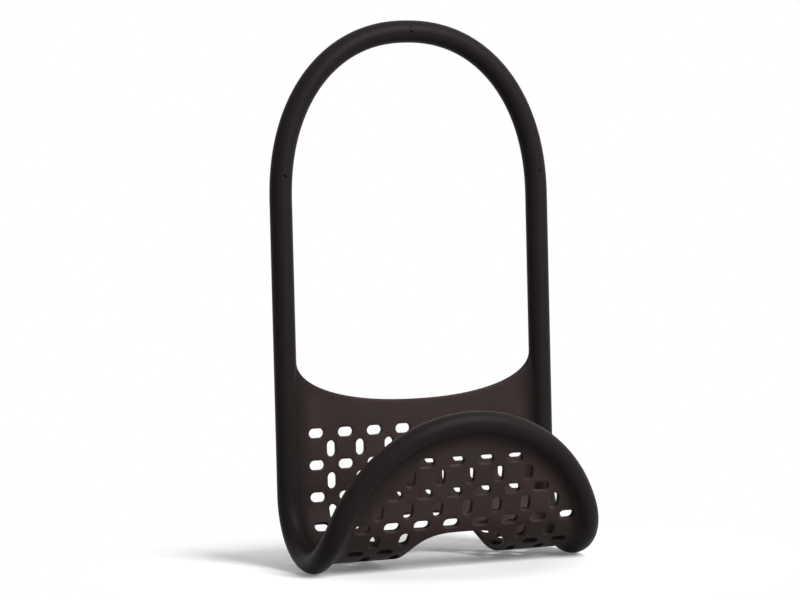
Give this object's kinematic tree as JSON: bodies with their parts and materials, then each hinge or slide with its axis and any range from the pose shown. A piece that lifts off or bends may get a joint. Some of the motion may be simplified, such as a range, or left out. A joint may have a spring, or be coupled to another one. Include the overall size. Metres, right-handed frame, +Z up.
{
  "type": "sink caddy",
  "caption": "Soft sling caddy: a round rim bent into a hanging hoop and an upturned flap, with a thin slotted web between, moulded over a wire ring.",
  "frame": {"origin": "underside of the hoop's crown, in the middle plane, where the caddy hangs", "axes": "+Z up along the hoop, -Y towards the flap (the front), +X to the viewer's right"},
  "size_m": [0.1074, 0.0585, 0.1928],
  "materials": {
    "elastomer": "matt, soft to the touch, near black",
    "wire": "drawn wire, bare"
  },
  "bodies": {
    "root": {"sling_moulding": "elastomer", "wire_core": "wire"}
  },
  "joints": []
}
